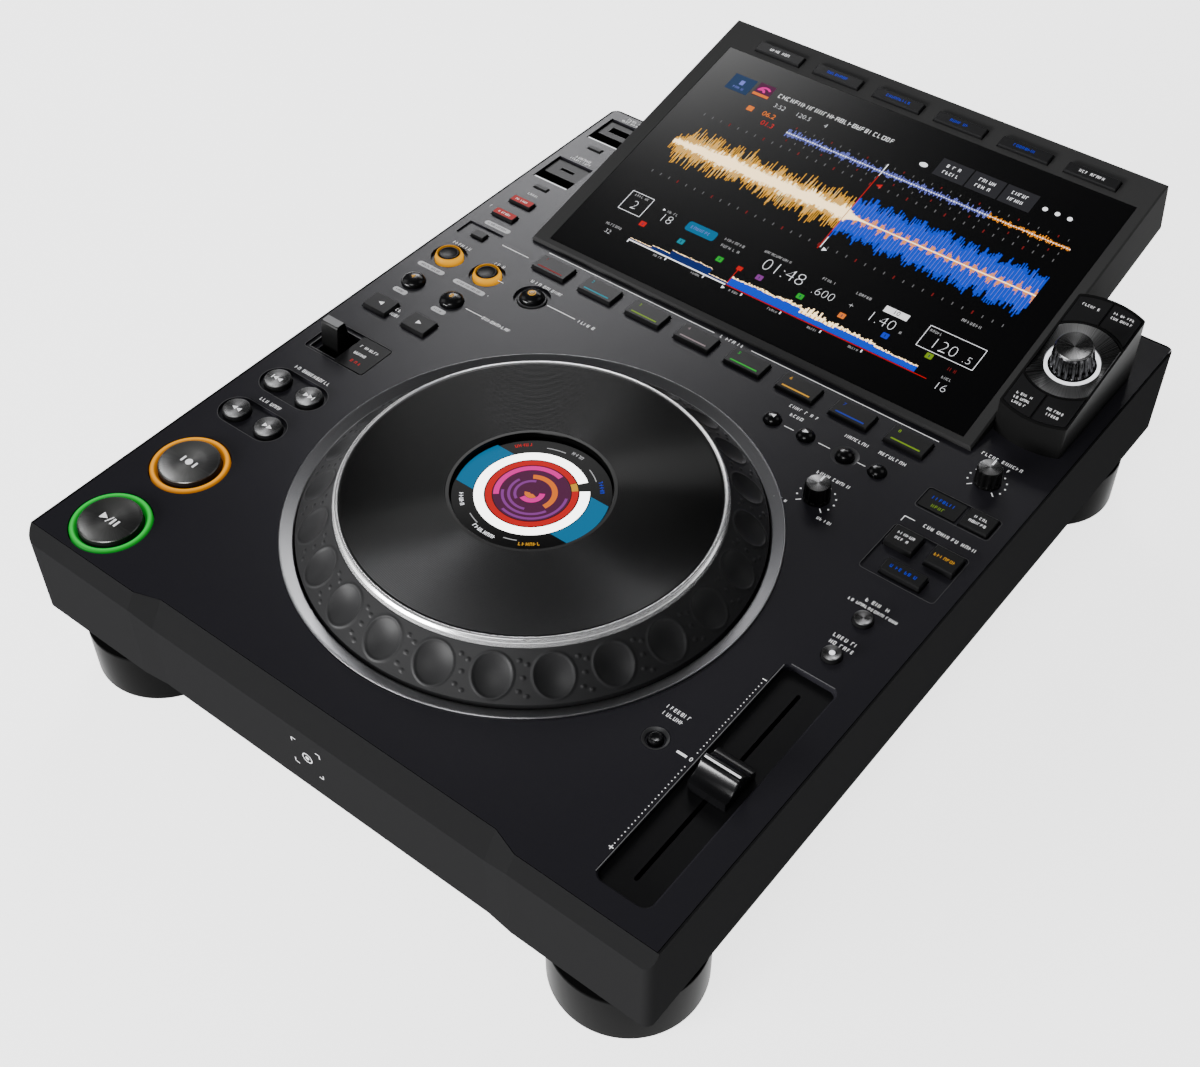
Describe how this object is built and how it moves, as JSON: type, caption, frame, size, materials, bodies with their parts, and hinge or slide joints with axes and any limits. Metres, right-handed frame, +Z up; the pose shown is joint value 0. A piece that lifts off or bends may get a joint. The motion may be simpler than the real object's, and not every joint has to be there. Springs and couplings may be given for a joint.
{
  "type": "tabletop DJ player",
  "caption": "Black tabletop DJ player with a large dimpled jog wheel, a tilted touch screen, lit play and cue keys, hot cue keys, a rotary selector and a tempo fader, on round feet.",
  "frame": {"origin": "bottom centre of the part's bounding box, on the surface that the feet stand on", "axes": "+Z up, -Y to the user's side (the front), +X to the user's right"},
  "size_m": [0.329, 0.4672, 0.1245],
  "materials": {
    "case": "fine satin",
    "deck": "fine matt",
    "key_black": "satin",
    "foot": "gloss",
    "jog_rubber": "satin",
    "platter": "grooved",
    "rim": "polished",
    "satin_metal": "spun, dark",
    "screen": "gloss",
    "lens_white": "satin",
    "inner_plastic": "satin",
    "inner_metal": "satin",
    "board": "satin"
  },
  "bodies": {
    "base": {"lower_case": "case", "top_plate": "deck", "indicator_lenses": "key_black", "light_rings": "lens_white", "jog_display": "screen", "jog_spindle": "inner_plastic", "jog_ring": "satin_metal", "fader_unit": "key_black", "usb_ports": "key_black", "screen_housing": "case", "screen_glass": "screen", "selector_pod": "case", "pod_bezel": "case", "selector_dish": "satin_metal", "feet": "foot", "main_board": "board", "power_supply": "inner_metal", "rear_jacks": "inner_metal"},
    "jog": {"jog_wheel": "jog_rubber", "jog_rim": "rim", "jog_platter": "platter"},
    "play_key": {"play_key": "satin_metal"},
    "cue_key": {"cue_key": "satin_metal"},
    "search_back_key": {"search_back_key": "satin_metal"},
    "search_forward_key": {"search_forward_key": "satin_metal"},
    "track_back_key": {"track_back_key": "satin_metal"},
    "track_forward_key": {"track_forward_key": "satin_metal"},
    "beat_loop_short_key": {"beat_loop_short_key": "key_black"},
    "beat_loop_long_key": {"beat_loop_long_key": "key_black"},
    "loop_in_key": {"loop_in_key": "key_black"},
    "loop_out_key": {"loop_out_key": "key_black"},
    "reloop_key": {"reloop_key": "key_black"},
    "tempo_range_key": {"tempo_range_key": "satin_metal"},
    "master_tempo_key": {"master_tempo_key": "satin_metal"},
    "tempo_reset_key": {"tempo_reset_key": "key_black"},
    "hot_cue_a_key": {"hot_cue_a_key": "key_black"},
    "hot_cue_b_key": {"hot_cue_b_key": "key_black"},
    "hot_cue_c_key": {"hot_cue_c_key": "key_black"},
    "hot_cue_d_key": {"hot_cue_d_key": "key_black"},
    "hot_cue_e_key": {"hot_cue_e_key": "key_black"},
    "hot_cue_f_key": {"hot_cue_f_key": "key_black"},
    "hot_cue_g_key": {"hot_cue_g_key": "key_black"},
    "hot_cue_h_key": {"hot_cue_h_key": "key_black"},
    "beat_jump_back_key": {"beat_jump_back_key": "key_black"},
    "beat_jump_forward_key": {"beat_jump_forward_key": "key_black"},
    "jog_mode_key": {"jog_mode_key": "key_black"},
    "beat_sync_key": {"beat_sync_key": "key_black"},
    "master_key": {"master_key": "key_black"},
    "key_sync_key": {"key_sync_key": "key_black"},
    "memory_keys": {"memory_keys": "key_black"},
    "service_keys": {"service_keys": "key_black"},
    "screen_keys": {"screen_keys": "key_black"},
    "pod_keys": {"pod_keys": "key_black"},
    "power_switch": {"power_switch": "key_black"},
    "direction_lever": {"direction_lever": "key_black"},
    "jog_weight_knob": {"jog_weight_knob": "key_black"},
    "speed_adjust_knob": {"speed_adjust_knob": "key_black"},
    "tempo_fader": {"tempo_fader": "key_black"},
    "selector_shaft": {"selector_shaft": "satin_metal"},
    "selector_knob": {"selector_knob": "satin_metal"}
  },
  "joints": [
    {"name": "jog_turn", "type": "hinge", "parent": "base", "child": "jog", "pos_m": [0, -0.09753, 0.0813], "axis": [0, 0, 1], "continuous": true},
    {"name": "play_press", "type": "slide", "parent": "base", "child": "play_key", "axis": [0, 0, 1], "range_m": [-0.001, 0], "stiffness_N_per_m": 400},
    {"name": "cue_press", "type": "slide", "parent": "base", "child": "cue_key", "axis": [0, 0, 1], "range_m": [-0.001, 0], "stiffness_N_per_m": 400},
    {"name": "search_back_press", "type": "slide", "parent": "base", "child": "search_back_key", "axis": [0, 0, 1], "range_m": [-0.001, 0], "stiffness_N_per_m": 400},
    {"name": "search_forward_press", "type": "slide", "parent": "base", "child": "search_forward_key", "axis": [0, 0, 1], "range_m": [-0.001, 0], "stiffness_N_per_m": 400},
    {"name": "track_back_press", "type": "slide", "parent": "base", "child": "track_back_key", "axis": [0, 0, 1], "range_m": [-0.001, 0], "stiffness_N_per_m": 400},
    {"name": "track_forward_press", "type": "slide", "parent": "base", "child": "track_forward_key", "axis": [0, 0, 1], "range_m": [-0.001, 0], "stiffness_N_per_m": 400},
    {"name": "beat_loop_short_press", "type": "slide", "parent": "base", "child": "beat_loop_short_key", "axis": [0, 0, 1], "range_m": [-0.001, 0], "stiffness_N_per_m": 400},
    {"name": "beat_loop_long_press", "type": "slide", "parent": "base", "child": "beat_loop_long_key", "axis": [0, 0, 1], "range_m": [-0.001, 0], "stiffness_N_per_m": 400},
    {"name": "loop_in_press", "type": "slide", "parent": "base", "child": "loop_in_key", "axis": [0, 0, 1], "range_m": [-0.001, 0], "stiffness_N_per_m": 400},
    {"name": "loop_out_press", "type": "slide", "parent": "base", "child": "loop_out_key", "axis": [0, 0, 1], "range_m": [-0.001, 0], "stiffness_N_per_m": 400},
    {"name": "reloop_press", "type": "slide", "parent": "base", "child": "reloop_key", "axis": [0, 0, 1], "range_m": [-0.001, 0], "stiffness_N_per_m": 400},
    {"name": "tempo_range_press", "type": "slide", "parent": "base", "child": "tempo_range_key", "axis": [0, 0, 1], "range_m": [-0.001, 0], "stiffness_N_per_m": 400},
    {"name": "master_tempo_press", "type": "slide", "parent": "base", "child": "master_tempo_key", "axis": [0, 0, 1], "range_m": [-0.001, 0], "stiffness_N_per_m": 400},
    {"name": "tempo_reset_press", "type": "slide", "parent": "base", "child": "tempo_reset_key", "axis": [0, 0, 1], "range_m": [-0.001, 0], "stiffness_N_per_m": 400},
    {"name": "hot_cue_a_press", "type": "slide", "parent": "base", "child": "hot_cue_a_key", "axis": [0, 0, 1], "range_m": [-0.001, 0], "stiffness_N_per_m": 400},
    {"name": "hot_cue_b_press", "type": "slide", "parent": "base", "child": "hot_cue_b_key", "axis": [0, 0, 1], "range_m": [-0.001, 0], "stiffness_N_per_m": 400},
    {"name": "hot_cue_c_press", "type": "slide", "parent": "base", "child": "hot_cue_c_key", "axis": [0, 0, 1], "range_m": [-0.001, 0], "stiffness_N_per_m": 400},
    {"name": "hot_cue_d_press", "type": "slide", "parent": "base", "child": "hot_cue_d_key", "axis": [0, 0, 1], "range_m": [-0.001, 0], "stiffness_N_per_m": 400},
    {"name": "hot_cue_e_press", "type": "slide", "parent": "base", "child": "hot_cue_e_key", "axis": [0, 0, 1], "range_m": [-0.001, 0], "stiffness_N_per_m": 400},
    {"name": "hot_cue_f_press", "type": "slide", "parent": "base", "child": "hot_cue_f_key", "axis": [0, 0, 1], "range_m": [-0.001, 0], "stiffness_N_per_m": 400},
    {"name": "hot_cue_g_press", "type": "slide", "parent": "base", "child": "hot_cue_g_key", "axis": [0, 0, 1], "range_m": [-0.001, 0], "stiffness_N_per_m": 400},
    {"name": "hot_cue_h_press", "type": "slide", "parent": "base", "child": "hot_cue_h_key", "axis": [0, 0, 1], "range_m": [-0.001, 0], "stiffness_N_per_m": 400},
    {"name": "beat_jump_back_press", "type": "slide", "parent": "base", "child": "beat_jump_back_key", "axis": [0, 0, 1], "range_m": [-0.001, 0], "stiffness_N_per_m": 400},
    {"name": "beat_jump_forward_press", "type": "slide", "parent": "base", "child": "beat_jump_forward_key", "axis": [0, 0, 1], "range_m": [-0.001, 0], "stiffness_N_per_m": 400},
    {"name": "jog_mode_press", "type": "slide", "parent": "base", "child": "jog_mode_key", "axis": [0, 0, 1], "range_m": [-0.001, 0], "stiffness_N_per_m": 400},
    {"name": "beat_sync_press", "type": "slide", "parent": "base", "child": "beat_sync_key", "axis": [0, 0, 1], "range_m": [-0.001, 0], "stiffness_N_per_m": 400},
    {"name": "master_press", "type": "slide", "parent": "base", "child": "master_key", "axis": [0, 0, 1], "range_m": [-0.001, 0], "stiffness_N_per_m": 400},
    {"name": "key_sync_press", "type": "slide", "parent": "base", "child": "key_sync_key", "axis": [0, 0, 1], "range_m": [-0.001, 0], "stiffness_N_per_m": 400},
    {"name": "memory_press", "type": "slide", "parent": "base", "child": "memory_keys", "axis": [0, 0, 1], "range_m": [-0.001, 0], "stiffness_N_per_m": 400},
    {"name": "service_press", "type": "slide", "parent": "base", "child": "service_keys", "axis": [0, 0, 1], "range_m": [-0.001, 0], "stiffness_N_per_m": 400},
    {"name": "screen_press", "type": "slide", "parent": "base", "child": "screen_keys", "axis": [0, -0.2284, 0.9736], "range_m": [-0.0006, 0], "stiffness_N_per_m": 400},
    {"name": "pod_press", "type": "slide", "parent": "base", "child": "pod_keys", "axis": [0, -0.2284, 0.9736], "range_m": [-0.0006, 0], "stiffness_N_per_m": 400},
    {"name": "power_switch_press", "type": "slide", "parent": "base", "child": "power_switch", "axis": [0, 1, 0], "range_m": [-0.0015, 0], "stiffness_N_per_m": 400},
    {"name": "direction_tilt", "type": "hinge", "parent": "base", "child": "direction_lever", "pos_m": [-0.1463, -0.06523, 0.0723], "axis": [1, 0, 0], "range_deg": [-15, 15]},
    {"name": "jog_weight_turn", "type": "hinge", "parent": "base", "child": "jog_weight_knob", "pos_m": [0.0869, -0.01361, 0.0813], "axis": [0, 0, 1], "range_deg": [-150, 150]},
    {"name": "speed_adjust_turn", "type": "hinge", "parent": "base", "child": "speed_adjust_knob", "pos_m": [0.1393, 0.03947, 0.0813], "axis": [0, 0, 1], "range_deg": [-150, 150]},
    {"name": "tempo_slide", "type": "slide", "parent": "base", "child": "tempo_fader", "axis": [0, 1, 0], "range_m": [-0.048, 0.048]},
    {"name": "selector_press", "type": "slide", "parent": "base", "child": "selector_shaft", "axis": [0, -0.2284, 0.9736], "range_m": [-0.0006, 0], "stiffness_N_per_m": 600},
    {"name": "selector_turn", "type": "hinge", "parent": "selector_shaft", "child": "selector_knob", "pos_m": [0.1407, 0.10522, 0.10617], "axis": [0, -0.2284, 0.9736], "continuous": true}
  ]
}
